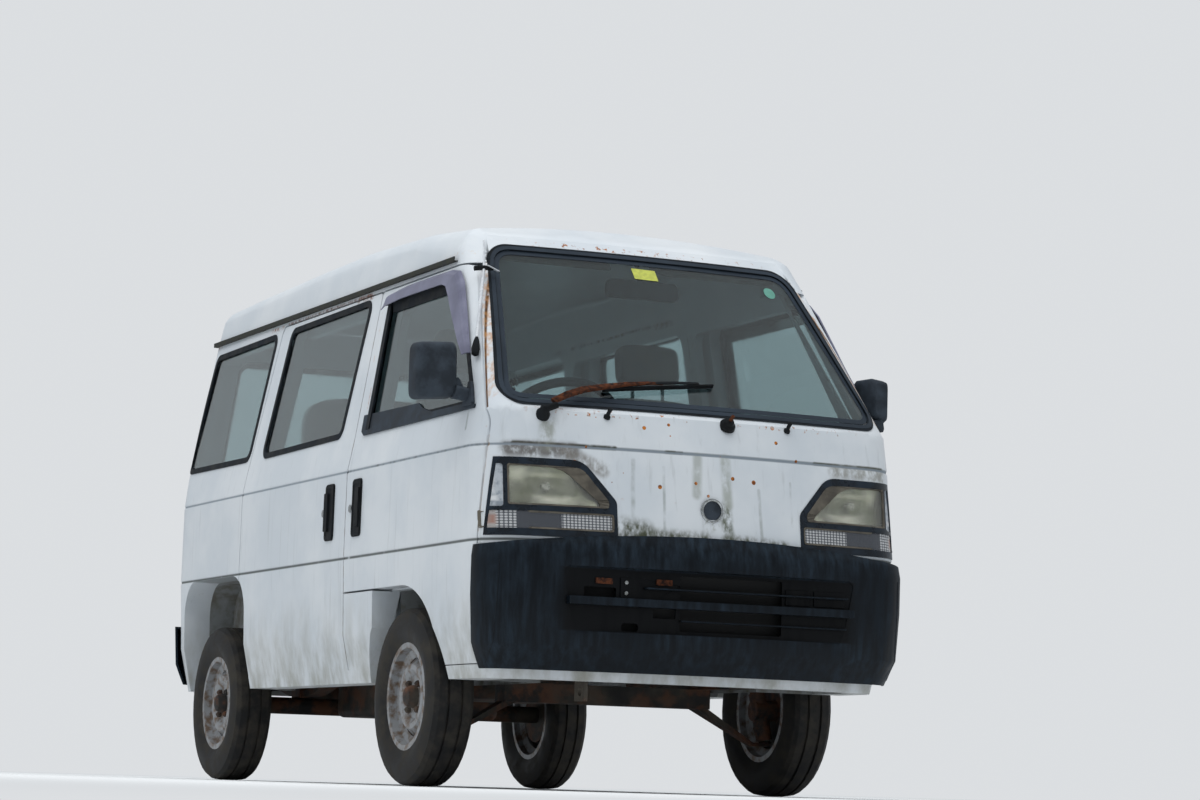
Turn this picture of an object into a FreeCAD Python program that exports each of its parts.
"""A small cab-over van with four doors, a tailgate, and its wheels and running gear.

Millimetres. +Z is up, the nose points to -Y and the right-hand (driver's) side is -X.
The origin is on the ground, under the middle of the van.
"""
import FreeCAD, Part
import math
import os
import types
import Sketcher
from FreeCAD import Placement, Rotation, Vector

doc = FreeCAD.newDocument("KeiVan")

# Driving dimensions: alias, value, what it is
SIZES = (
    ("half_length", 1647.5, "half the length over both bumpers"),
    ("half_width", 697.5, "half the width over the bumpers"),
    ("front_axle", 860, "front axle ahead of the middle"),
    ("rear_axle", 1040, "rear axle behind the middle"),
    ("front_track", 1205, "between the front tyres' middles"),
    ("rear_track", 1210, "between the rear tyres' middles"),
    ("panel_gap", 6, "gap round a door or lid"),
    ("door_wall", 55, "a door, skin to lining"),
    ("pillar_wall", 96, "skin to the inside of a pillar"),
    ("frame_inset", 68, "skin to the outside of the door frames"),
    ("end_wall", 40, "nose panel with its inner panel"),
    ("lid_wall", 46, "tailgate, skin to lining"),
    ("roof_wall", 24, "roof skin with its bows and lining"),
    ("door_foot", 360, "lower edge of the doors"),
    ("cant_height", 1589, "split between the roof and the sides"),
    ("gutter_drop", 1606, "height of the rain gutters"),
    ("gutter_out", 14, "gutter beyond the side"),
    ("gutter_deep", 15, "height of a gutter's lip"),
    ("gutter_front", 985, "front end of the gutters, ahead of the middle"),
    ("gutter_rear", 1456, "rear end of the gutters"),
    ("front_gap", 1457, "front edge of the front doors, ahead of the middle"),
    ("middle_gap", 339, "between front and sliding door, ahead of the middle"),
    ("rear_gap", 749, "rear edge of the sliding doors, below the glass"),
    ("rear_gap_top", 660, "rear edge of the sliding doors, at the roof"),
    ("arch_round", 334, "radius of the front wheel arch"),
    ("arch_rear", 605, "rear edge of the front arch, ahead of the middle"),
    ("arch_half", 350, "half the rear arch's length"),
    ("arch_top", 712, "top of the rear arch"),
    ("arch_corner", 130, "corner radius of the rear arch"),
    ("liner_wall", 10, "inner wheel arch sheet"),
    ("front_house", 370, "inside face of a front wheel house"),
    ("rear_house", 500, "inside face of a rear wheel house"),
    ("seal_width", 20, "visible width of a window's rubber"),
    ("seal_proud", 3, "rubber beyond the skin"),
    ("seal_deep", 16, "rubber below the skin"),
    ("glass_inset", 4, "skin to the glass"),
    ("glass_thick", 5, "window glass"),
    ("foot_floor", 440, "cab floor"),
    ("seat_floor", 700, "top of the box below the front seats"),
    ("load_floor", 640, "load floor"),
    ("floor_sheet", 28, "floor with its ribs"),
    ("deck_step", 4, "load deck above the floor behind the cab"),
    ("rail_gauge", 330, "chassis rail off the middle"),
    ("rail_width", 60, "chassis rail across"),
    ("rail_deep", 85, "chassis rail height"),
    ("tyre_radius", 271, "145 R12 tyre"),
    ("tyre_width", 145, "tyre section width"),
    ("tread_width", 112, "flat of the tread"),
    ("rim_radius", 152.4, "bead seat of a 12 inch rim"),
    ("rim_width", 114, "over the rim flanges"),
    ("rim_sheet", 5, "rim and disc steel"),
    ("disc_face", 22, "disc's bolting face outside the rim's middle"),
    ("hub_radius", 62, "wheel hub flange"),
    ("hub_thick", 12, "wheel hub flange thickness"),
    ("bolt_circle", 110, "wheel stud circle diameter"),
    ("stud_radius", 6, "wheel stud"),
    ("pin_offset", 57.5, "steering axis inside the wheel's middle plane"),
    ("pin_lean", 12, "lean of the steering axis in degrees"),
    ("strut_radius", 22, "suspension strut tube"),
    ("brake_radius", 100, "brake disc or drum"),
    ("wheel_rim_radius", 190, "steering wheel"),
    ("wheel_rim_tube", 14, "steering wheel's rim section radius"),
    ("driver", 320, "driver's middle off the van's middle"),
    ("column_tilt", 42, "steering column above the level, in degrees"),
    ("plate_pitch", 210, "between a number plate's two bolts"),
    ("plate_hole", 3.5, "number plate bolt hole radius"),
)

# Body levels: height, half width, nose and tail off the middle, corner and bow radius
LEVELS = (
    ("sill", 318, 652, 1545, 1590, 150, 3100),
    ("flank", 470, 684, 1578, 1612, 160, 3100),
    ("low_crease", 716, 692, 1614, 1630, 165, 3100),
    ("crease", 994, 690, 1576, 1630, 165, 3100),
    ("belt", 1100, 669, 1548, 1614, 120, 3800),
    ("gutter", 1606, 586, 1101, 1536, 80, 4000),
    ("brow", 1690, 572, 1027, 1516, 80, 4000),
    ("peak", 1830, 549, 770, 1360, 80, 4000),
)
LEVEL_COLUMNS = ("height", "half", "nose", "tail", "corner", "bow")

# Roof stations: place along the van, crown height, height of the shoulder arc's centre
STATIONS = (
    ("hood", -1300, 1690, 1560),
    ("header", -958, 1746, 1632),
    ("cab", -600, 1772, 1663),
    ("middle", -50, 1782, 1681),
    ("load", 400, 1780, 1678),
    ("hoop", 1030, 1771, 1668),
    ("stern", 1600, 1752, 1654),
)
STATION_COLUMNS = ("along", "crown", "shoulder")
ROOF_SHAPE = (
    ("shoulder_in", 489, "shoulder arc's centre off the middle"),
    ("shoulder_round", 85, "shoulder arc radius"),
    ("shoulder_fall", 60, "slope in degrees where the shoulder arc ends"),
)

# Bumper levels, in the body levels' columns
BUMPER_LEVELS = (
    ("lip", 344, 668, 1592, 1604, 120, 3000),
    ("chin", 418, 690, 1636, 1640, 135, 3000),
    ("bulge", 560, 697.5, 1646, 1647.5, 140, 3000),
    ("waist", 668, 697.5, 1647.5, 1647.5, 140, 3000),
    ("shelf", 700, 694, 1641, 1640, 140, 3000),
    ("ledge", 760, 688, 1622, 1620, 140, 3000),
)

# Windows and openings by their corners: along or across, height, corner radius
DOOR_WINDOW = ((-1372, 1116, 26), (-1046, 1552, 40), (-418, 1552, 45), (-432, 1116, 40))
SLIDING_WINDOW = ((-207, 1113, 45), (-262, 1574, 45), (554, 1568, 45), (622, 1109, 45))
QUARTER_WINDOW = ((758, 1112, 50), (702, 1570, 45), (1414, 1564, 45), (1506, 1120, 50))
WINDSCREEN = ((-637, 1114, 60), (-512, 1661, 85), (512, 1661, 85), (637, 1114, 60))
LID_WINDOW = ((-532, 1120, 60), (-486, 1560, 60), (486, 1560, 60), (532, 1120, 60))
LAMP_FRAME = ((-720, 727, 0), (-720, 957, 0), (-400, 955, 70), (-299, 838, 30), (-299, 727, 12))
MAIN_LENS = ((-618, 817, 8), (-618, 937, 8), (-402, 932, 55), (-324, 838, 16), (-324, 817, 8))
MARKER_LENS = ((-720, 811, 0), (-720, 937, 0), (-628, 937, 8), (-628, 811, 8))
TURN_LENS = ((-720, 748, 0), (-720, 800, 0), (-310, 800, 8), (-310, 748, 8))
TAIL_LAMP = ((-720, 610, 0), (-720, 800, 0), (-604, 800, 16), (-604, 610, 16))


# The sheet, and numbers that remember their cells
sheet = doc.addObject("Spreadsheet::Sheet", "Sizes")


class Size:
    """A number with the sum of cells that it comes from."""

    def __init__(self, value, text):
        self.value = float(value)
        self.text = text

    def __add__(self, other):
        return Size(self.value + float(other), f"({self.text} + {cell_text(other)})")

    def __sub__(self, other):
        return Size(self.value - float(other), f"({self.text} - {cell_text(other)})")

    def __mul__(self, other):
        return Size(self.value * float(other), f"({self.text} * {cell_text(other)})")

    def __truediv__(self, other):
        return Size(self.value / float(other), f"({self.text} / {cell_text(other)})")

    def __neg__(self):
        return Size(-self.value, f"(0 - {self.text})")

    def __rsub__(self, other):
        return Size(float(other) - self.value, f"({cell_text(other)} - {self.text})")

    __radd__ = __add__
    __rmul__ = __mul__

    def __float__(self):
        return self.value


def cell_text(value):
    return value.text if isinstance(value, Size) else f"({value})"


def fill_sheet():
    """Write every driving dimension into a row of its own and give it its alias."""
    rows = [(alias, value, note) for alias, value, note in SIZES + ROOF_SHAPE]
    for name, *values in LEVELS + BUMPER_LEVELS:
        rows += [(f"{name}_{column}", value, f"{name} level, {column}")
                 for column, value in zip(LEVEL_COLUMNS, values)]
    for name, *values in STATIONS:
        rows += [(f"{name}_{column}", value, f"{name} station, {column}")
                 for column, value in zip(STATION_COLUMNS, values)]
    for row, (alias, value, note) in enumerate(rows, 1):
        sheet.set(f"A{row}", note)
        sheet.set(f"B{row}", str(value))
        sheet.setAlias(f"B{row}", alias)
    doc.recompute()
    return {alias: Size(sheet.get(alias), "Sizes." + alias) for alias, _, _ in rows}


s = types.SimpleNamespace(**fill_sheet())
NODES = []


# Document helpers
def bind(thing, prop, value):
    """Give a property its number and, where it has cells, its expression."""
    if isinstance(value, Size):
        thing.setExpression(prop, value.text)
    elif "." in prop:
        thing.setExpression(prop, str(value))
    else:
        setattr(thing, prop, value)


def put(thing, at, turn=None):
    """Place a thing at three sizes, turned by a fixed rotation."""
    if turn is not None:
        thing.Placement = Placement(Vector(0, 0, 0), turn)
    for axis, value in zip("xyz", at):
        bind(thing, "Placement.Base." + axis, value)
    return thing


def box(name, x, y, z):
    """A block between two planes on each axis."""
    block = doc.addObject("Part::Box", name)
    for prop, (low, high) in zip(("Length", "Width", "Height"), (x, y, z)):
        bind(block, prop, high - low)
    return put(block, (x[0], y[0], z[0]))


ALONG_X = Rotation(Vector(0, 1, 0), 90)
ALONG_Y = Rotation(Vector(1, 0, 0), -90)
ALONG_Z = Rotation()


def rod(name, radius, length, at, turn=ALONG_Z):
    """A round bar that starts at a place and runs along the turned Z axis."""
    bar = doc.addObject("Part::Cylinder", name)
    bind(bar, "Radius", radius)
    bind(bar, "Height", length)
    return put(bar, at, turn)


def fuse(name, *things):
    union = doc.addObject("Part::MultiFuse", name)
    union.Shapes = list(things)
    union.Refine = True
    return union


def cut(name, base, tool):
    left = doc.addObject("Part::Cut", name)
    left.Base = base
    left.Tool = tool
    return left


def soften(name, base, radius, pick):
    """Round the edges of a thing that the pick function chooses."""
    doc.recompute()
    edges = [i for i, edge in enumerate(base.Shape.Edges, 1) if pick(edge)]
    rounded = doc.addObject("Part::Fillet", name)
    rounded.Base = base
    rounded.Edges = [(i, radius, radius) for i in edges]
    return rounded


def mirrored(name, source):
    twin = doc.addObject("Part::Mirroring", name)
    twin.Source = source
    twin.Normal = Vector(1, 0, 0)
    return twin


def shaped(name, shape):
    """A piece whose curved form comes from the functions below."""
    piece = doc.addObject("Part::Feature", name)
    piece.Shape = shape
    return piece


def node(name, thing):
    """Name a finished sub-part; the name is its file's name."""
    thing.Label = name
    NODES.append(thing)
    return thing


def drawn(body, role, name, points):
    """A closed sketch through points whose places are bound to the sheet."""
    plane = next(f for f in body.Origin.OriginFeatures if f.Role == role)
    sketch = body.newObject("Sketcher::SketchObject", name)
    sketch.AttachmentSupport = [(plane, "")]
    sketch.MapMode = "FlatFace"
    flat = [Vector(float(u), float(v), 0) for u, v in points]
    for start, end in zip(flat, flat[1:] + flat[:1]):
        sketch.addGeometry(Part.LineSegment(start, end), False)
    for i in range(len(flat)):
        sketch.addConstraint(Sketcher.Constraint("Coincident", i - 1 if i else len(flat) - 1, 2, i, 1))
    for i, (u, v) in enumerate(points):
        for kind, value in (("DistanceX", u), ("DistanceY", v)):
            index = sketch.addConstraint(Sketcher.Constraint(kind, -1, 1, i, 1, float(value)))
            if isinstance(value, Size):
                sketch.setExpression(f"Constraints[{index}]", value.text)
    return sketch


def pad(name, role, points, length, at=(0, 0, 0)):
    """A body made by padding one sketch, its middle on the sketch plane."""
    body = doc.addObject("PartDesign::Body", name)
    profile = drawn(body, role, name + "Profile", points)
    raised = body.newObject("PartDesign::Pad", name + "Pad")
    raised.Profile = profile
    raised.SideType = "Symmetric"
    bind(raised, "Length", length)
    put(body, at)
    return body


def spun(name, role, points, axis="V_Axis", at=(0, 0, 0), turn=None):
    """A body made by turning one sketch about an axis of its own."""
    body = doc.addObject("PartDesign::Body", name)
    profile = drawn(body, role, name + "Profile", points)
    turned = body.newObject("PartDesign::Revolution", name + "Turn")
    turned.Profile = profile
    turned.ReferenceAxis = (profile, [axis])
    turned.Angle = 360
    put(body, at, turn)
    return body


# Outlines and prisms
def rounded(corners, place):
    """A closed wire through corners (u, v, radius), each turned by an arc of its own."""
    count = len(corners)
    spots = [Vector(float(u), float(v), 0) for u, v, _ in corners]
    bends = []
    for i, (_, _, radius) in enumerate(corners):
        here = spots[i]
        back = (spots[i - 1] - here).normalize()
        ahead = (spots[(i + 1) % count] - here).normalize()
        if float(radius) == 0:
            bends.append((here, None, here))
            continue
        half = back.getAngle(ahead) / 2
        inward = (back + ahead).normalize()
        reach = float(radius) / math.tan(half)
        centre = here + inward * (float(radius) / math.sin(half))
        bends.append((here + back * reach, centre - inward * float(radius), here + ahead * reach))
    edges = []
    for i, (start, middle, end) in enumerate(bends):
        if middle is not None:
            edges.append(Part.Arc(place(start), place(middle), place(end)).toShape())
        follow = bends[(i + 1) % count][0]
        if end.distanceToPoint(follow) > 0.01:
            edges.append(Part.LineSegment(place(end), place(follow)).toShape())
    return Part.Wire(edges)


def shrunk(corners, amount):
    """The corners of a convex outline moved inwards by an amount."""
    count = len(corners)
    result = []
    for i, (u, v, radius) in enumerate(corners):
        here = Vector(float(u), float(v), 0)
        back = (Vector(*[float(c) for c in corners[i - 1][:2]], 0) - here).normalize()
        ahead = (Vector(*[float(c) for c in corners[(i + 1) % count][:2]], 0) - here).normalize()
        moved = here + (back + ahead).normalize() * (amount / math.sin(back.getAngle(ahead) / 2))
        result.append((moved.x, moved.y, max(float(radius) - amount, 3) if radius else 0))
    return tuple(result)


def side_prism(corners, low, high):
    """An outline in the van's side view, run across from low to high."""
    wire = rounded(corners, lambda p: Vector(float(low), p.x, p.y))
    return Part.Face(wire).extrude(Vector(float(high) - float(low), 0, 0))


def front_prism(corners, low, high):
    """An outline in the van's front view, run along from low to high."""
    wire = rounded(corners, lambda p: Vector(p.x, float(low), p.y))
    return Part.Face(wire).extrude(Vector(0, float(high) - float(low), 0))


def block(x, y, z):
    low = Vector(float(x[0]), float(y[0]), float(z[0]))
    return Part.makeBox(float(x[1]) - low.x, float(y[1]) - low.y, float(z[1]) - low.z, low)


# The body's mould: level outlines joined by straight rulings, under a crowned roof
def column(name, key):
    return float(getattr(s, f"{name}_{key}"))


def plan_outline(name, side, ends):
    """One level's outline, with bowed ends that run smoothly into its round corners."""
    height = column(name, "height")
    half = column(name, "half") - side
    bow = column(name, "bow")
    corner = max(column(name, "corner") - max(side, 0), 22)
    turn = math.asin((half - corner) / (bow - corner))
    across = bow * math.sin(turn)
    points = []
    for end, sign in ((column(name, "nose") - ends, -1), (column(name, "tail") - ends, 1)):
        middle = end - (bow - bow * math.cos(turn))
        centre = end - bow + (bow - corner) * math.cos(turn)
        bend = (math.pi / 2 - turn) / 2
        knee = (half - corner + corner * math.cos(bend), centre + corner * math.sin(bend))
        points.append([(x, sign * y, height) for x, y in
                       ((0, end), (across, middle), knee, (half, centre))])
    nose, tail = [[Vector(*p) for p in half_row] for half_row in points]

    def other(p):
        return Vector(-p.x, p.y, p.z)

    arcs = (
        Part.Arc(other(nose[1]), nose[0], nose[1]),
        Part.Arc(nose[1], nose[2], nose[3]),
        Part.LineSegment(nose[3], tail[3]),
        Part.Arc(tail[3], tail[2], tail[1]),
        Part.Arc(tail[1], tail[0], other(tail[1])),
        Part.Arc(other(tail[1]), other(tail[2]), other(tail[3])),
        Part.LineSegment(other(tail[3]), other(nose[3])),
        Part.Arc(other(nose[3]), other(nose[2]), other(nose[1])),
    )
    return Part.Wire([arc.toShape() for arc in arcs])


LOFTS = {}


def plan_loft(side=0.0, ends=None, levels=LEVELS):
    """The body's outside, or the same form moved inwards by side and ends."""
    ends = side if ends is None else ends
    key = (float(side), float(ends), levels[0][0])
    if key not in LOFTS:
        wires = [plan_outline(row[0], key[0], key[1]) for row in levels]
        LOFTS[key] = Part.makeLoft(wires, True, True)
    return LOFTS[key]


def roof_outline(name, drop):
    """A roof section: crown arc, two shoulder arcs and the falls beside them."""
    along = column(name, "along")
    crown = column(name, "crown") - drop
    centre = Vector(float(s.shoulder_in), along, column(name, "shoulder") - drop)
    radius = float(s.shoulder_round)
    fall = math.radians(float(s.shoulder_fall))

    def on_arc(angle):
        return centre + Vector(radius * math.sin(angle), 0, radius * math.cos(angle))

    top = Vector(0, along, crown)
    rise = math.atan2(crown - on_arc(0).z, centre.x) * 2
    start, knee, end = on_arc(rise), on_arc((rise + fall) / 2), on_arc(fall)
    wide = 760
    skirt = end + Vector(wide - end.x, 0, -(wide - end.x) * math.tan(fall))
    foot = Vector(wide, along, 1180)

    def other(p):
        return Vector(-p.x, p.y, p.z)

    edges = (
        Part.Arc(other(start), top, start),
        Part.Arc(start, knee, end),
        Part.LineSegment(end, skirt),
        Part.LineSegment(skirt, foot),
        Part.LineSegment(foot, other(foot)),
        Part.LineSegment(other(foot), other(skirt)),
        Part.LineSegment(other(skirt), other(end)),
        Part.Arc(other(end), other(knee), other(start)),
    )
    return Part.Wire([edge.toShape() for edge in edges])


def roof_loft(drop=0.0):
    return Part.makeLoft([roof_outline(row[0], float(drop)) for row in STATIONS], True, True)


def wall(outer, inner, region):
    """The part of a wall between two moulds that lies in a region."""
    return region.common(outer).cut(inner)


SKIN = plan_loft()
WALL = plan_loft(s.pillar_wall, s.end_wall)
SIDE = (-760, -300)
HALF_GAP = s.panel_gap / 2
FRONT_Y = -s.front_axle


# Wheel arches
def front_arch(extra, x):
    """The front arch: a circle about the axle, with a square upper rear corner."""
    radius = float(s.arch_round + extra)
    axle = Vector(float(x[0]), float(FRONT_Y), float(s.tyre_radius))
    barrel = Part.makeCylinder(radius, float(x[1]) - float(x[0]), axle, Vector(1, 0, 0))
    corner = block(x, (FRONT_Y, extra - s.arch_rear), (s.tyre_radius, s.tyre_radius + s.arch_round + extra))
    below = block(x, (FRONT_Y - radius, FRONT_Y + radius), (0, s.tyre_radius))
    return barrel.fuse([corner, below]).removeSplitter()


def rear_arch(extra, x):
    low, high = s.rear_axle - s.arch_half - extra, s.rear_axle + s.arch_half + extra
    bend = s.arch_corner + extra
    corners = ((low, 0, 0), (low, s.arch_top + extra, bend), (high, s.arch_top + extra, bend), (high, 0, 0))
    return side_prism(corners, *x)


# Door outlines in the side view
def front_door_region(gap, x):
    """The front door: upright at the hinges, then back along the windscreen pillar."""
    front, rear = gap - s.front_gap, -gap - s.middle_gap
    top = s.cant_height - s.panel_gap / 2 - gap
    lean = float(gap)
    corners = (
        (front, s.door_foot, 0), (front, 1070, 90), (lean - 1075, top, 60), (rear, top, 12),
        (rear, s.tyre_radius + s.arch_round + gap, 0), (FRONT_Y, s.tyre_radius + s.arch_round + gap, 0),
        (FRONT_Y, s.door_foot, 0),
    )
    return side_prism(corners, *x).cut(front_arch(gap, x))


def sliding_door_region(gap, x):
    low, high = gap - s.middle_gap, s.rear_gap - gap
    top = s.cant_height - s.panel_gap / 2 - gap
    corners = ((low, s.door_foot, 0), (low, top, 12), (s.rear_gap_top - gap, top, 30), (high, 1085, 60),
               (high, s.door_foot, 0))
    return side_prism(corners, *x).cut(rear_arch(gap, x))


# Glass with its rubber, set into a window opening
def glazing(name, prism, corners, span):
    """A pane and its rubber frame, both on the body's curve."""
    hole = prism(corners, *span)
    pane_shape = prism(shrunk(corners, float(s.seal_width)), *span)
    seal = wall(plan_loft(-s.seal_proud), plan_loft(s.seal_deep), hole.cut(pane_shape))
    pane = wall(plan_loft(s.glass_inset), plan_loft(s.glass_inset + s.glass_thick), pane_shape)
    return seal, pane


LID_TOP = 1690
LID_FOOT = 585
LID_CORNERS = ((-592, LID_FOOT, 20), (-592, 1010, 150), (-540, LID_TOP, 50),
               (540, LID_TOP, 50), (592, 1010, 150), (592, LID_FOOT, 20))
REAR = (1420, 1800)
NOSE = (-1800, -900)


def pair(*shapes):
    """The right-hand pieces and their mirror images as one node's solids."""
    twins = [shape.mirror(Vector(0, 0, 0), Vector(1, 0, 0)) for shape in shapes]
    return Part.Compound([*shapes, *twins])


def front_panel():
    """Nose, scuttle and windscreen pillars in one pressing, open for glass and lamps."""
    gap = float(HALF_GAP)
    front = -float(s.front_gap) - gap
    corners = (
        (-1800, s.sill_height, 0), (-1800, s.cant_height, 0), (-1075 - gap, s.cant_height, 0),
        (front, 1070, 90), (front, s.door_foot - gap, 0),
        (-1120, s.door_foot - gap, 0), (-1120, s.sill_height, 0),
    )
    panel = wall(SKIN, WALL, side_prism(corners, -760, 760).cut(front_arch(gap, (-760, 760))))
    panel = panel.cut(front_prism(WINDSCREEN, *NOSE))
    lamp = front_prism(LAMP_FRAME, -1800, -1480)
    return panel.cut(lamp.fuse(lamp.mirror(Vector(0, 0, 0), Vector(1, 0, 0))))


def roof_panel():
    """Roof skin with its cant rails and header, above the doors."""
    region = block((-760, 760), (-1300, 1560), (s.cant_height, 1850))
    outer = region.common(SKIN).common(roof_loft())
    inner = WALL.common(roof_loft(s.roof_wall))
    panel = outer.cut(inner).cut(front_prism(WINDSCREEN, *NOSE))
    return panel.cut(front_prism(grown_lid(), *REAR))


def grown_lid():
    return shrunk(LID_CORNERS, -float(s.panel_gap))


def body_side():
    """Sill, rear quarter and corner pillar behind the front arch, right-hand side."""
    gap = float(HALF_GAP)
    region = block(SIDE, (-s.arch_rear, 1700), (s.sill_height, s.cant_height))
    panel = wall(SKIN, WALL, region.cut(front_arch(0, SIDE)).cut(rear_arch(0, SIDE)))
    panel = panel.cut(front_door_region(-gap, SIDE)).cut(sliding_door_region(-gap, SIDE))
    panel = panel.cut(side_prism(QUARTER_WINDOW, *SIDE))
    panel = panel.cut(front_prism(grown_lid(), *REAR)).cut(front_prism(TAIL_LAMP, 1540, 1800))
    panel = panel.cut(block((-600, 0), (1500, 1800), (0, LID_FOOT)))
    return panel.cut(DOOR_FRAME)


def door_frame():
    """Pillars, rail and inner sill that the two right-hand doors close against."""
    depth = (s.front_gap - 52, s.rear_gap + HALF_GAP)
    region = block(SIDE, (-depth[0], depth[1]), (s.sill_height, s.cant_height))
    region = region.cut(front_arch(0, SIDE)).cut(rear_arch(0, SIDE))
    front = ((-1383, 600, 60), (-1383, 1075, 90), (-1070, 1530, 60), (-388, 1530, 40), (-388, 660, 60),
             (-860, 660, 0))
    rear = ((-290, 420, 60), (-290, 1540, 50), (620, 1540, 50), (690, 1085, 60), (690, 420, 60))
    holes = side_prism(front, *SIDE).fuse(side_prism(rear, *SIDE).cut(rear_arch(30, SIDE)))
    holes = holes.fuse(side_prism(QUARTER_WINDOW, *SIDE))
    return wall(plan_loft(s.frame_inset), WALL, region.cut(holes)).cut(FRONT_PANEL)


def front_door():
    door = wall(SKIN, plan_loft(s.door_wall, -200), front_door_region(HALF_GAP, SIDE))
    return door.cut(side_prism(DOOR_WINDOW, *SIDE))


def sliding_door():
    door = wall(SKIN, plan_loft(s.door_wall), sliding_door_region(HALF_GAP, SIDE))
    return door.cut(side_prism(SLIDING_WINDOW, *SIDE))


def tailgate():
    region = front_prism(LID_CORNERS, *REAR)
    lid = wall(SKIN, plan_loft(-100, s.lid_wall), region)
    return lid.cut(front_prism(LID_WINDOW, *REAR)).cut(plate_holes(1610, 60, 820))


def rear_panel():
    """The cross panel below the tailgate, behind the bumper."""
    region = block((-600, 600), (1500, 1800), (s.sill_height, LID_FOOT - s.panel_gap))
    return wall(SKIN, WALL, region)


def bumper(levels, ends, wall_thick, region, hollow):
    """A moulded bumper: its own lofted form over the body, open at the back."""
    outer = plan_loft(0, 0, levels)
    inner = plan_loft(wall_thick, wall_thick, levels)
    return region.common(outer).cut(hollow.common(inner)).cut(SKIN)


def crowned(low, edge, middle, half):
    """A front view outline with a flat foot and an arched top."""
    foot = (Vector(-half, 0, low), Vector(half, 0, low))
    ends = (Vector(half, 0, edge), Vector(-half, 0, edge))
    return Part.Wire([
        Part.LineSegment(*foot).toShape(), Part.LineSegment(foot[1], ends[0]).toShape(),
        Part.Arc(ends[0], Vector(0, 0, middle), ends[1]).toShape(),
        Part.LineSegment(ends[1], foot[0]).toShape()])


def front_bumper():
    wall_thick = 6
    outer_face = Part.Face(crowned(344, 698, 746, 710))
    inner_face = Part.Face(crowned(300, 692, 740, 710))
    region = outer_face.extrude(Vector(0, -500, 0))
    hollow = inner_face.extrude(Vector(0, -500, 0))
    region.translate(Vector(0, -1455, 0))
    hollow.translate(Vector(0, -1200, 0))
    shell = bumper(BUMPER_LEVELS, 0, wall_thick, region, hollow)
    mouth = ((-474, 645, 20), (474, 645, 20), (437, 458, 20), (-437, 458, 20))
    opening = front_prism(mouth, -1700, -1560)
    tray = front_prism(shrunk(mouth, -wall_thick), -1700, -1602).common(plan_loft(0, 0, BUMPER_LEVELS))
    tray = tray.cut(front_prism(mouth, -1700, -1608))
    lamps = pair(lamp_housing())
    return shell.cut(opening).fuse(tray).cut(SKIN).cut(plate_holes(-1700, 120, 600)).cut(lamps)


def plate_holes(along, deep, height):
    """Two holes for a number plate's bolts, drilled along the van."""
    half = float(s.plate_pitch) / 2
    holes = [Part.makeCylinder(float(s.plate_hole), deep, Vector(x, along, height), Vector(0, 1, 0))
             for x in (-half, half)]
    return holes[0].fuse(holes[1])


def rear_bumper():
    region = block((-760, 760), (1490, 1700), (344, 556))
    hollow = block((-760, 760), (1400, 1700), (300, 548))
    return bumper(BUMPER_LEVELS, 0, 8, region, hollow)


def lamp_housing():
    """The black frame and bowls of one headlamp group, right-hand side."""
    frame = front_prism(LAMP_FRAME, -1800, -1480)
    body = wall(plan_loft(-2), plan_loft(70), frame)
    for corners in (MAIN_LENS, MARKER_LENS, TURN_LENS):
        pocket = front_prism(corners, -1800, -1486)
        body = body.cut(pocket.cut(plan_loft(48)))
    return body


def lens(corners):
    return wall(plan_loft(1), plan_loft(9), front_prism(corners, -1800, -1486))


def tail_lamp():
    return wall(plan_loft(-3), plan_loft(50), front_prism(TAIL_LAMP, 1540, 1800))


# Body and glass nodes
def both_sides(name, shape):
    """The right-hand piece and its mirror image as two nodes."""
    right = node(name + "_right", shaped(name.title().replace("_", "") + "Right", shape))
    left = node(name + "_left", mirrored(name.title().replace("_", "") + "Left", right))
    return right, left


FRONT_PANEL = front_panel()
DOOR_FRAME = door_frame()
node("front_panel", shaped("FrontPanel", FRONT_PANEL))
node("roof_panel", shaped("RoofPanel", roof_panel()))
node("rear_panel", shaped("RearPanel", rear_panel()))
both_sides("body_side", body_side())
both_sides("front_door", front_door())
both_sides("sliding_door", sliding_door())
node("tailgate", shaped("Tailgate", tailgate()))
node("front_bumper", shaped("FrontBumper", front_bumper()))
node("rear_bumper", shaped("RearBumper", rear_bumper()))

screen_seal, screen = glazing("windscreen", front_prism, WINDSCREEN, NOSE)
node("windscreen", shaped("Windscreen", screen))
lid_seal, lid_pane = glazing("tailgate_glass", front_prism, LID_WINDOW, REAR)
node("tailgate_glass", shaped("TailgateGlass", lid_pane))
node("tailgate_seal", shaped("TailgateSeal", lid_seal))
door_seal, door_pane = glazing("door_glass", side_prism, DOOR_WINDOW, SIDE)
both_sides("door_glass", door_pane)
both_sides("door_seal", door_seal)
slide_seal, slide_pane = glazing("side_glass", side_prism, SLIDING_WINDOW, SIDE)
quarter_seal, quarter_pane = glazing("quarter_glass", side_prism, QUARTER_WINDOW, SIDE)


node("side_glass", shaped("SideGlass", pair(slide_pane, quarter_pane)))
side_seals = pair(slide_seal, quarter_seal)
node("window_seals", shaped("WindowSeals", Part.Compound([screen_seal, side_seals])))
node("door_frames", shaped("DoorFrames", pair(DOOR_FRAME)))
node("headlamp_housings", shaped("HeadlampHousings", pair(lamp_housing())))
node("headlamp_lenses", shaped("HeadlampLenses", pair(lens(MAIN_LENS), lens(MARKER_LENS))))
node("turn_lenses", shaped("TurnLenses", pair(lens(TURN_LENS))))
node("tail_lamps", shaped("TailLamps", pair(tail_lamp())))


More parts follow.
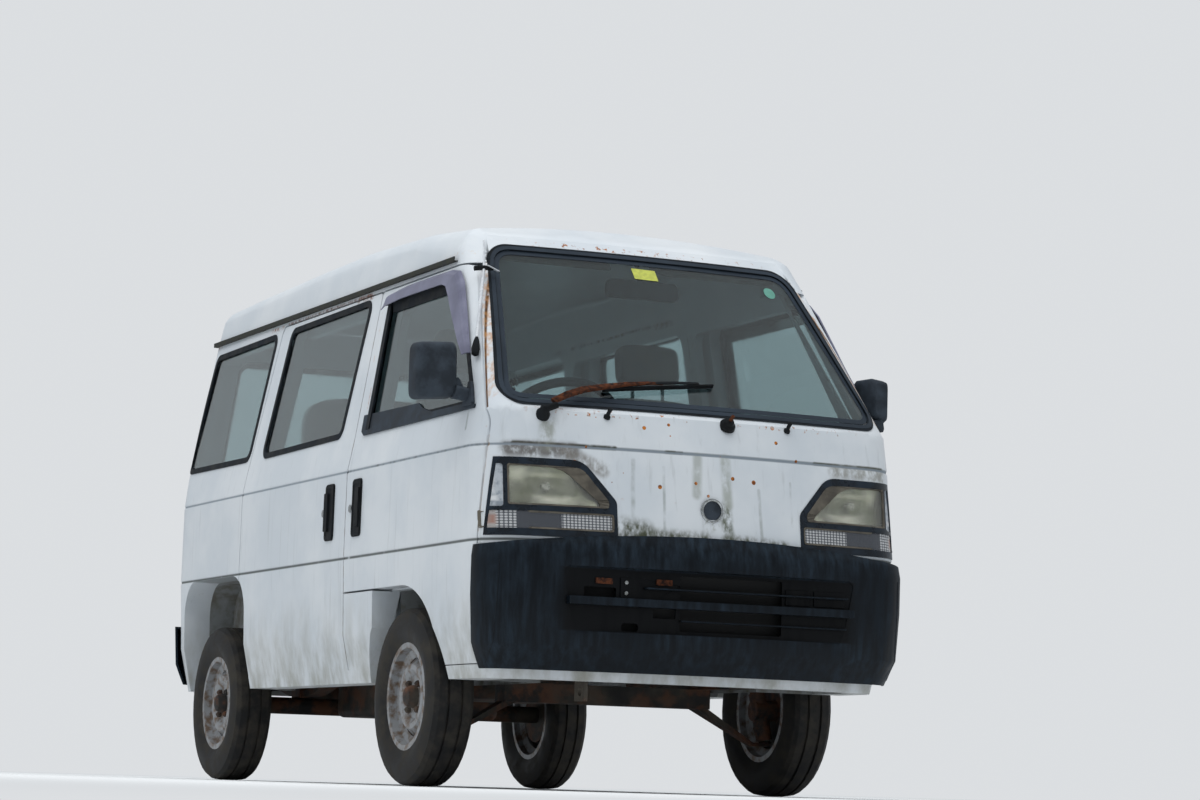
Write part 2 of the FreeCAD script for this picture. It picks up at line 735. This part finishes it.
def roof_gutter():
    """A rain gutter: a ledge with an upturned lip along the top of one side."""
    half, low, rise = column("gutter", "half"), float(s.gutter_drop), float(s.gutter_deep)
    out = float(s.gutter_out)
    edge = [(-half + 3, low - 6), (-half - out, low - 6), (-half - out, low - 6 + rise),
            (-half - out + 3, low - 6 + rise), (-half - out + 3, low - 3), (-half + 3, low - 3)]
    ends = (-float(s.gutter_front), float(s.gutter_rear))
    wire = Part.makePolygon([Vector(x, ends[0], z) for x, z in edge + edge[:1]])
    rail = Part.Face(wire).extrude(Vector(0, ends[1] - ends[0], 0))
    return rail.cut(SKIN)


node("roof_gutters", shaped("RoofGutters", pair(roof_gutter())))


# Floor, wheel houses and chassis
def floor_sheet(bends, thick):
    """A stepped sheet across the van, from its top corners and its underside's shifts."""
    steps = [(y, z) for y, z, _ in bends]
    under = [(y + shift, z - thick) for y, z, shift in bends]
    loop = steps + under[::-1]
    wire = Part.makePolygon([Vector(-760, y, z) for y, z in loop + loop[:1]])
    return Part.Face(wire).extrude(Vector(1520, 0, 0)).common(FLOOR_EDGE)


FLOOR_EDGE = plan_loft(s.pillar_wall + 0.3, s.lid_wall + 12)
HOUSES = ((front_arch, float(s.front_house)), (rear_arch, float(s.rear_house)))


def house_hollows(extra):
    """The space inside the wheel houses, both axles and both sides."""
    hollows = []
    for sign in (-1, 1):
        for arch, house in HOUSES:
            hollows.append(arch(extra, sorted((sign * (house - extra), sign * 760))))
    return hollows


def cab_floor():
    """Foot floor, toe board and seat box in one stepped sheet."""
    thick = float(s.floor_sheet)
    foot, box_top, load = float(s.foot_floor), float(s.seat_floor), float(s.load_floor)
    # along, height, where the underside's corner lies beside the top's
    bends = ((-1525, load, -thick), (-1497, foot, -thick), (-1235, foot, thick), (-1180, box_top, thick),
             (-430, box_top, -thick), (-415, load + 0.1, 0), (-413, load, 0))
    return floor_sheet(bends, thick).cut(Part.Compound(house_hollows(float(s.liner_wall))))


def load_floor():
    """The flat load floor, its rear deck a mat's thickness up."""
    thick = float(s.floor_sheet)
    load, deck = float(s.load_floor), float(s.load_floor + s.deck_step)
    bends = ((-412.7, load, 0), (570, load, 0), (576, deck, 0), (1560, deck, 0))
    steps = [(y, z) for y, z, _ in bends]
    loop = steps + [(1560, load - thick), (-412.7, load - thick)]
    wire = Part.makePolygon([Vector(-760, y, z) for y, z in loop + loop[:1]])
    sheet_solid = Part.Face(wire).extrude(Vector(1520, 0, 0)).common(FLOOR_EDGE)
    return sheet_solid.cut(Part.Compound(house_hollows(float(s.liner_wall))))


def wheel_houses():
    """The pressed inner arches over the four wheels."""
    liner = float(s.liner_wall)
    shells = []
    for outside, inside in zip(house_hollows(liner), house_hollows(0)):
        shell = outside.cut(inside).common(FLOOR_EDGE)
        shells.append(shell.cut(block((-760, 760), (-1700, 1700), (0, s.sill_height))))
    return Part.Compound(shells)


node("cab_floor", shaped("CabFloor", cab_floor()))
node("load_floor", shaped("LoadFloor", load_floor()))
node("wheel_houses", shaped("WheelHouses", wheel_houses()))


def chassis_rail(name, at):
    """A rail that runs level below the cab and steps up over the rear axle."""
    low, high = s.foot_floor - s.floor_sheet, s.load_floor - s.floor_sheet
    points = ((-1470, low - s.rail_deep), (-380, low - s.rail_deep), (-250, high - s.rail_deep),
              (1540, high - s.rail_deep), (1540, high), (-330, high), (-460, low), (-1470, low))
    return pad(name, "YZ_Plane", points, s.rail_width, (at, 0, 0))


rails = [chassis_rail("RailRight", -s.rail_gauge), chassis_rail("RailLeft", s.rail_gauge)]
cross = []
for name, along, deep in (("Front", -1440, 50), ("Cab", -1225, 60), ("Mid", 360, 60), ("Engine", 760, 60), ("Rear", 1490, 60)):
    top = s.foot_floor - s.floor_sheet if along < -400 else s.load_floor - s.floor_sheet
    cross.append(box("Cross" + name, (-s.rail_gauge, s.rail_gauge), (along, along + 50), (top - deep, top)))
eye_low = s.foot_floor - s.floor_sheet - s.rail_deep
eye_plate = box("TowPlate", (-s.rail_gauge - 6, -s.rail_gauge + 6), (-1470, -1400), (eye_low - 65, eye_low + 40))
eye_hole = rod("TowHole", 14, 40, (-s.rail_gauge - 20, -1440, eye_low - 37), ALONG_X)
tow_eye = cut("TowEye", eye_plate, eye_hole)
node("chassis_rails", fuse("ChassisRails", *rails, *cross, tow_eye))

# Engine, tank, exhaust and radiator under the floor
engine = box("EngineBlock", (-230, 230), (560, 985), (235, s.load_floor - s.floor_sheet - 60))
node("engine_block", soften("EngineRound", engine, 25, lambda e: e.Length > 300))
rail_foot = s.load_floor - s.floor_sheet - s.rail_deep
tank = box("TankBlock", (-290, 250), (-150, 330), (rail_foot - 235, rail_foot - 3))
tank_body = soften("TankBody", tank, 40, lambda e: e.Length > 200)
straps = [box(f"TankStrap{i}", (-s.rail_gauge - 10, s.rail_gauge + 10), (y, y + 40), (rail_foot - 6, rail_foot))
          for i, y in enumerate((-60, 200))]
node("fuel_tank", fuse("FuelTank", tank_body, *straps))
silencer = rod("SilencerDrum", 75, 380, (-190, 1440, 330), ALONG_X)
tail_pipe = rod("TailPipe", 18, 150, (150, 1455, 292), ALONG_Y)
hanger = box("SilencerHanger", (-20, 20), (1430, 1450), (395, 612))
node("exhaust", fuse("Exhaust", silencer, tail_pipe, hanger))


# Wheels: tyre and rim by turning a section about the axle
def tyre(name, at):
    radius, half, flat = s.tyre_radius, s.tyre_width / 2, s.tread_width / 2
    bead, lip = s.rim_radius, s.rim_width / 2 - s.rim_sheet
    middle = (radius + bead) / 2
    points = ((-lip, bead), (-lip, bead + 14), (-half, middle - 12), (-half, middle + 18), (-flat - 5, radius - 10),
              (-flat + 6, radius - 1.5), (0, radius), (flat - 6, radius - 1.5), (flat + 5, radius - 10),
              (half, middle + 18), (half, middle - 12), (lip, bead + 14), (lip, bead), (lip - 14, bead),
              (half - 12, middle), (flat - 8, radius - 14), (8 - flat, radius - 14),
              (12 - half, middle), (14 - lip, bead))
    return spun(name, "XZ_Plane", points, "H_Axis", at)


def steel_wheel(name, at, outward):
    """Rim and disc as one turned section, its bolting face towards the hub."""
    bead, flange, thick = s.rim_radius, s.rim_width / 2, s.rim_sheet
    well = bead - 26
    base = s.disc_face

    def spot(x, radius):
        return (x * outward, radius)

    points = (
        spot(-flange, bead + 12), spot(-flange + thick, bead + 12), spot(-flange + thick, bead),
        spot(-flange + 26, bead - 2), spot(-flange + 36, well), spot(flange - 40, well),
        spot(flange - 28, bead - 2), spot(flange - thick, bead), spot(flange - thick, bead + 12),
        spot(flange, bead + 12), spot(flange, bead - thick), spot(flange - 26, bead - thick - 3),
        spot(flange - 36, well - thick), spot(base - 8, well - thick), spot(base + 14 + thick, 98),
        spot(base + 14 + thick, 82), spot(base + thick, 66), spot(base + thick, 32), spot(base, 32),
        spot(base, 68), spot(base + 14, 85), spot(base + 14, 96), spot(base - 14, well - thick),
        spot(-flange + 34, well - thick), spot(-flange + 22, bead - thick - 3), spot(-flange, bead - thick),
    )
    return spun(name, "XZ_Plane", points, "H_Axis", at)


AXLES = (("front", FRONT_Y, s.front_track / 2), ("rear", s.rear_axle, s.rear_track / 2))
for axle, along, half_track in AXLES:
    for side, sign in (("right", -1), ("left", 1)):
        key = (axle + side).title()
        centre = (half_track * sign, along, s.tyre_radius)
        node(f"tyre_{axle}_{side}", tyre("Tyre" + key, centre))
        node(f"wheel_{axle}_{side}", steel_wheel("Wheel" + key, centre, sign))


# Front suspension: an upright with its strut turns with each front wheel
def knuckle():
    """Hub, brake disc, upright and strut of the right-hand front wheel."""
    middle = -float(s.front_track) / 2
    level, along = float(s.tyre_radius), float(FRONT_Y)
    face = middle - float(s.disc_face)
    pin = middle + float(s.pin_offset)
    lean = math.radians(float(s.pin_lean))
    up = Vector(math.sin(lean), 0, math.cos(lean))
    pivot = Vector(pin, along, level)
    out = Vector(-1, 0, 0)
    thick = float(s.hub_thick)
    hub = Part.makeCylinder(float(s.hub_radius), thick, Vector(face + thick, along, level), out)
    nose = Part.makeCylinder(29, 40, Vector(face + 12, along, level), out)
    disc = Part.makeCylinder(float(s.brake_radius), 12, Vector(face + thick + 14, along, level), out)
    neck = Part.makeCylinder(34, pin + 24 - (face + thick), Vector(pin + 24, along, level), out)
    post = Part.makeCylinder(26, 150, pivot - up * 95, up)
    strut = Part.makeCylinder(float(s.strut_radius), 285, pivot + up * 40, up)
    return hub.fuse([nose, disc, neck, post, strut]).removeSplitter()


both_sides("knuckle", knuckle())


def front_suspension():
    """Cross member and lower arms that carry the front uprights."""
    pin = float(s.front_track) / 2 - float(s.pin_offset)
    along = float(FRONT_Y)
    top = float(s.foot_floor - s.floor_sheet - s.rail_deep)
    beam = block((-350, 350), (along - 40, along + 40), (top - 60, top))
    arms = []
    for sign in (-1, 1):
        foot = Part.makeCylinder(16, 11, Vector(sign * (pin + 22), along, 158), Vector(0, 0, 1))
        sections = [rectangle(sign * 290, along, 290, 70, 24), rectangle(sign * (pin - 28), along, 162, 36, 12),
                    rectangle(sign * (pin + 16), along, 163, 30, 10)]
        arm = Part.makeLoft(sections, True, True)
        arms += [arm, foot]
    return beam.fuse(arms).removeSplitter()


def rectangle(x, y, z, wide, high):
    """An upright rectangle across the van's length, as a loft's section."""
    corners = [Vector(x, y + u * wide / 2, z + v * high / 2) for u, v in ((-1, -1), (1, -1), (1, 1), (-1, 1))]
    return Part.makePolygon(corners + corners[:1])


node("front_suspension", shaped("FrontSuspension", front_suspension()))


def rear_axle():
    """Axle tube with its brake drums, and a leaf spring under each rail."""
    level, along = float(s.tyre_radius), float(s.rear_axle)
    face = float(s.rear_track) / 2 + float(s.disc_face)
    drum = float(s.brake_radius)
    inner = face - 52
    parts = []
    for sign in (-1, 1):
        out = Vector(sign, 0, 0)
        parts.append(Part.makeCylinder(drum, 44, Vector(sign * inner, along, level), out))
        parts.append(Part.makeCylinder(float(s.hub_radius), face - inner, Vector(sign * inner, along, level), out))
        parts.append(Part.makeCylinder(29, 40, Vector(sign * (face - 12), along, level), out))
    tube = Part.makeCylinder(30, 2 * inner + 20, Vector(-inner - 10, along, level), Vector(1, 0, 0))
    return tube.fuse(parts).removeSplitter()


node("rear_axle", shaped("RearAxle", rear_axle()))


def leaf_spring():
    """A curved spring pack with its eyes, shackle and hangers."""
    along, level = float(s.rear_axle), float(s.tyre_radius)
    x = -float(s.rail_gauge) - 30
    low = level + 32
    ends = (along - 470, along + 430)
    rise = 120

    def leaf(lift):
        return (Vector(x, ends[0], low + rise + lift), Vector(x, along, low + lift),
                Vector(x, ends[1], low + rise + lift))

    bottom, top = leaf(0), leaf(22)
    edges = [Part.Arc(*bottom).toShape(), Part.LineSegment(bottom[2], top[2]).toShape(),
             Part.Arc(*top[::-1]).toShape(), Part.LineSegment(top[0], bottom[0]).toShape()]
    spring = Part.Face(Part.Wire(edges)).extrude(Vector(60, 0, 0))
    under = float(s.load_floor - s.floor_sheet - s.rail_deep)
    hangers = [block((x - 4, x + 64), (end - 20, end + 20), (low + rise - 8, under)) for end in ends]
    clamp = block((x - 6, x + 66), (along - 45, along + 45), (low - 2, low + 34))
    return spring.fuse(hangers + [clamp]).removeSplitter()


spring = leaf_spring()
node("leaf_springs", shaped("LeafSprings", pair(spring)))

# Steering wheel and column
TILT = math.radians(float(s.column_tilt))
HELM = Vector(-float(s.driver), -1165, 1075)
STEM = Vector(0, math.cos(TILT), math.sin(TILT))


def steering_wheel():
    """Rim, three spokes and hub, square to the column."""
    ring = Part.makeTorus(float(s.wheel_rim_radius), float(s.wheel_rim_tube), HELM, STEM)
    hub = Part.makeCylinder(58, 34, HELM - STEM * 40, STEM)
    across = Vector(1, 0, 0)
    down = STEM.cross(across)
    spokes = []
    for angle in (20, 160, 270):
        way = across * math.cos(math.radians(angle)) - down * math.sin(math.radians(angle))
        reach = Part.makeCylinder(10, float(s.wheel_rim_radius) - 40, HELM - STEM * 20 + way * 40,
                                  (way * (float(s.wheel_rim_radius) - 40) + STEM * 20).normalize())
        spokes.append(reach)
    return ring.fuse(spokes + [hub]).removeSplitter()


node("steering_wheel", shaped("SteeringWheel", steering_wheel()))
column_foot = 0.3
column_rod = Part.makeCylinder(26, 400, HELM - STEM * (40 + column_foot), STEM * -1)
floor_cut = block((-760, 760), (-1700, -900), (0, s.foot_floor))
node("steering_column", shaped("SteeringColumn", column_rod.cut(floor_cut)))


# Dashboard, seats
def dashboard():
    """The moulded dash below the windscreen, with its shelf and face."""
    points = ((-1470, 1092), (-1290, 1092), (-1215, 1040), (-1205, 930), (-1260, 860), (-1300, 700), (-1470, 700))
    wire = Part.makePolygon([Vector(-560, y, z) for y, z in points + points[:1]])
    solid = Part.Face(wire).extrude(Vector(1120, 0, 0))
    return solid.common(plan_loft(s.pillar_wall + 0.3, s.end_wall + 0.3))


dash = dashboard()
hollow_column = Part.makeCylinder(26.3, 560, HELM - STEM * 30, STEM * -1)
node("dashboard", shaped("Dashboard", dash.cut(hollow_column)))


def seat(x, along, deep, half):
    """Cushion, backrest and headrest of one seat as one soft solid."""
    base = float(s.seat_floor) + 0.3
    cushion = block((x - half, x + half), (along, along + deep), (base, base + 130))
    cushion = cushion.makeFillet(35, [e for e in cushion.Edges if e.BoundBox.ZMin > base + 100])
    lean = 0.2
    sections = []
    for z, wide in ((base + 40, half - 20), (base + 620, half - 60)):
        y = along + deep - 40 + (z - base) * lean
        corners = [Vector(x + u * wide, y + v * 55, z) for u, v in ((-1, -1), (1, -1), (1, 1), (-1, 1))]
        sections.append(Part.makePolygon(corners + corners[:1]))
    back = Part.makeLoft(sections, True, True)
    top_y = along + deep - 40 + 690 * lean
    rest = block((x - 120, x + 120), (top_y - 45, top_y + 45), (base + 625, base + 780))
    stalks = [Part.makeCylinder(7, 60, Vector(x + dx, top_y, base + 600), Vector(0, 0, 1)) for dx in (-60, 60)]
    return cushion.fuse([back, rest] + stalks).removeSplitter()


node("front_seats", shaped("FrontSeats", pair(seat(-float(s.driver), -985, 470, 235))))


def rear_seat():
    """The folding bench behind the cab, upright."""
    floor = float(s.load_floor) + 0.3
    cushion = block((-560, 560), (90, 500), (floor + 170, floor + 290))
    cushion = cushion.makeFillet(30, [e for e in cushion.Edges if e.BoundBox.ZMin > floor + 250])
    back = block((-560, 560), (460, 550), (floor + 220, floor + 700))
    legs = [block((x - 20, x + 20), (y, y + 30), (floor, floor + 175)) for x in (-450, 450) for y in (130, 430)]
    return cushion.fuse([back] + legs).removeSplitter()


node("rear_seat", shaped("RearSeat", rear_seat()))


# Door furniture
def mirror(head_x, head_y):
    """A door mirror on its arm, right-hand side, its head between two planes each way."""
    head = block(head_x, head_y, (1128, 1308))
    head = head.makeFillet(28, [e for e in head.Edges if e.Length > 40])
    foot = side_prism(((-1368, 1120, 8), (-1296, 1120, 8), (-1296, 1214, 8)), -760, -500)
    foot = wall(plan_loft(-14), plan_loft(-3.4), foot)
    arm = block((-720, -669), (-1330, -1300), (1136, 1172))
    return head.fuse([arm, foot]).removeSplitter()


node("mirror_right", shaped("MirrorRight", mirror((-838, -702), (-1330, -1252))))
folded = mirror((-760, -676), (-1336, -1190))
node("mirror_left", shaped("MirrorLeft", folded.mirror(Vector(0, 0, 0), Vector(1, 0, 0))))


def pull(along):
    """A recessed door handle plate."""
    corners = tuple((along + u * 40, 872 + v * 92, 14) for u, v in ((-1, -1), (-1, 1), (1, 1), (1, -1)))
    return wall(plan_loft(-4), plan_loft(0), side_prism(corners, *SIDE))


both_sides("door_handle", pull(-448))
node("sliding_handles", shaped("SlidingHandles", pair(pull(-190))))


# Write the parts
doc.recompute()
broken = [o.Name for o in doc.Objects if "Invalid" in o.State or "Error" in o.State]
if broken:
    raise RuntimeError("failed: " + ", ".join(broken))
bad = [thing.Label for thing in NODES
       if thing.Shape.isNull() or not thing.Shape.isValid() or not thing.Shape.Solids]
if bad:
    raise RuntimeError("bad shapes: " + ", ".join(bad))

os.makedirs("parts", exist_ok=True)
for thing in NODES:
    thing.Shape.exportStep(f"parts/{thing.Label}.step")
    print(thing.Label, len(thing.Shape.Solids), round(thing.Shape.Volume / 1e6, 3))
